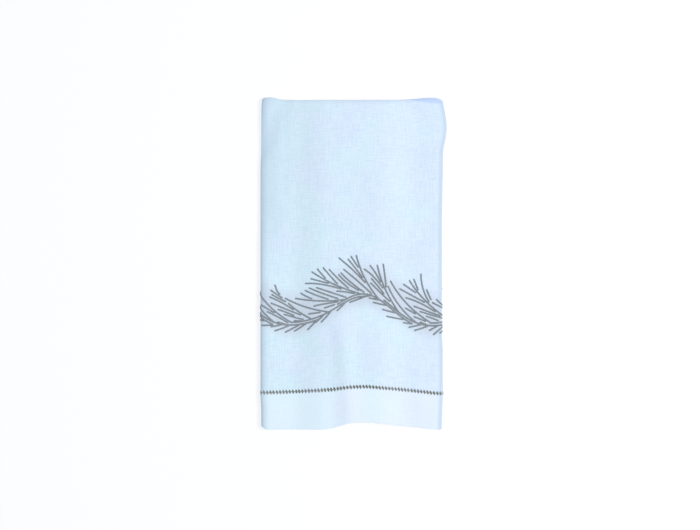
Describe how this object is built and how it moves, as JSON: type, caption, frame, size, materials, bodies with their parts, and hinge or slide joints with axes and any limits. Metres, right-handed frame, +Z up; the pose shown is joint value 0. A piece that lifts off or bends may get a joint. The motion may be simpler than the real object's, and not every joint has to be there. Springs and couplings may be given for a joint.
{
  "type": "folded hand towel",
  "caption": "Folded linen hand towel with a deep hemstitched hem and a border of embroidered twigs.",
  "frame": {"origin": "middle of the folded towel's outline on the surface that it lies on", "axes": "+X across the towel to its right side fold, +Y from the stitched hem to the top fold, +Z up out of the front panel"},
  "size_m": [0.1585, 0.2815, 0.0124],
  "materials": {
    "linen": "fine plain-woven linen, pale ice blue, matt"
  },
  "bodies": {
    "root": {"towel": "linen"}
  },
  "joints": []
}
